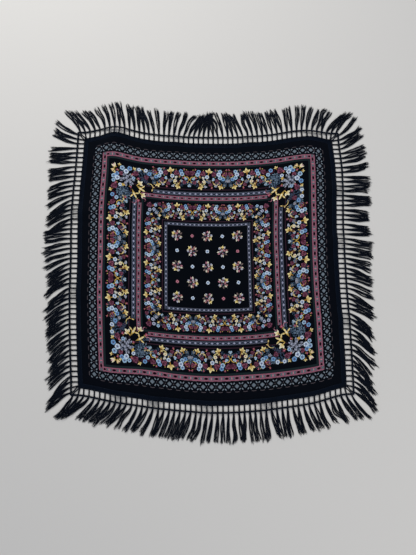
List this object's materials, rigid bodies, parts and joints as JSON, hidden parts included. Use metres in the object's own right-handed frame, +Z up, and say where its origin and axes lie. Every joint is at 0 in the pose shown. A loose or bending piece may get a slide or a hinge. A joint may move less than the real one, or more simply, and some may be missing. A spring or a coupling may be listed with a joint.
{
  "type": "square wool scarf",
  "caption": "Square printed wool scarf laid flat with soft creases, edged with a ladder-stitched trim and loose fringe.",
  "frame": {"origin": "on the surface that the scarf lies on, under the middle of its overall outline, fringe included", "axes": "+Z up from that surface, +Y towards the far edge of the scarf, +X to the right when facing +Y"},
  "size_m": [1.1738, 1.21, 0.015],
  "materials": {
    "wool_cloth": "matt printed wool",
    "fringe_yarn": "matt twisted yarn"
  },
  "bodies": {
    "root": {"cloth_panel": "wool_cloth", "fringe_far": "fringe_yarn", "fringe_left": "fringe_yarn", "fringe_near": "fringe_yarn", "fringe_right": "fringe_yarn"}
  },
  "joints": []
}
